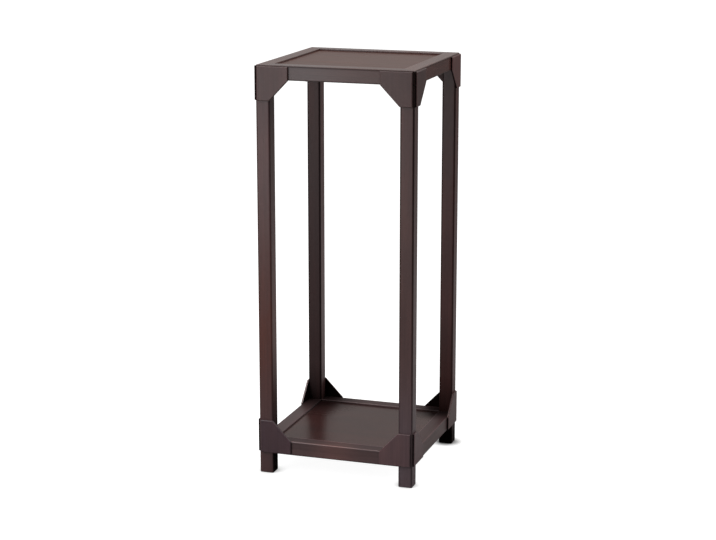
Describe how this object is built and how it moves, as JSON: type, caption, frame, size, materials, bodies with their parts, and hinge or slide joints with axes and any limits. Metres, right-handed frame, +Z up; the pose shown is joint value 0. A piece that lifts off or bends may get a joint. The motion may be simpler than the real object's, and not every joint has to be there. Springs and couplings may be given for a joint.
{
  "type": "pedestal",
  "caption": "Tall square wooden pedestal with straight posts, a framed and recessed top panel, a matching low shelf and flat gusset plates at the corners.",
  "frame": {"origin": "on the floor, under the middle of the stand", "axes": "+Z up along the legs, +X to the right and +Y to the back, with the front facing -Y"},
  "size_m": [0.303, 0.303, 0.762],
  "materials": {
    "legs": "dark espresso stain under a satin lacquer",
    "rails": "dark espresso stain under a satin lacquer",
    "panels": "dark espresso stain under a satin lacquer",
    "gussets": "dark espresso stain under a satin lacquer",
    "dowels": "plain unstained hardwood",
    "brads": "bare drawn wire"
  },
  "bodies": {
    "root": {"front_left_leg": "legs", "front_right_leg": "legs", "back_right_leg": "legs", "back_left_leg": "legs", "top_front_rail": "rails", "top_right_rail": "rails", "top_back_rail": "rails", "top_left_rail": "rails", "top_panel": "panels", "shelf_front_rail": "rails", "shelf_right_rail": "rails", "shelf_back_rail": "rails", "shelf_left_rail": "rails", "shelf_panel": "panels", "upper_gusset_front_left_front_face": "gussets", "upper_gusset_front_left_left_face": "gussets", "upper_gusset_front_right_right_face": "gussets", "upper_gusset_front_right_front_face": "gussets", "upper_gusset_back_right_back_face": "gussets", "upper_gusset_back_right_right_face": "gussets", "upper_gusset_back_left_left_face": "gussets", "upper_gusset_back_left_back_face": "gussets", "lower_gusset_front_left_front_face": "gussets", "lower_gusset_front_left_left_face": "gussets", "lower_gusset_front_right_right_face": "gussets", "lower_gusset_front_right_front_face": "gussets", "lower_gusset_back_right_back_face": "gussets", "lower_gusset_back_right_right_face": "gussets", "lower_gusset_back_left_left_face": "gussets", "lower_gusset_back_left_back_face": "gussets", "mitre_dowels": "dowels", "leg_dowels": "dowels", "shelf_dowels": "dowels", "upper_gusset_brads": "brads", "lower_gusset_brads": "brads"}
  },
  "joints": []
}
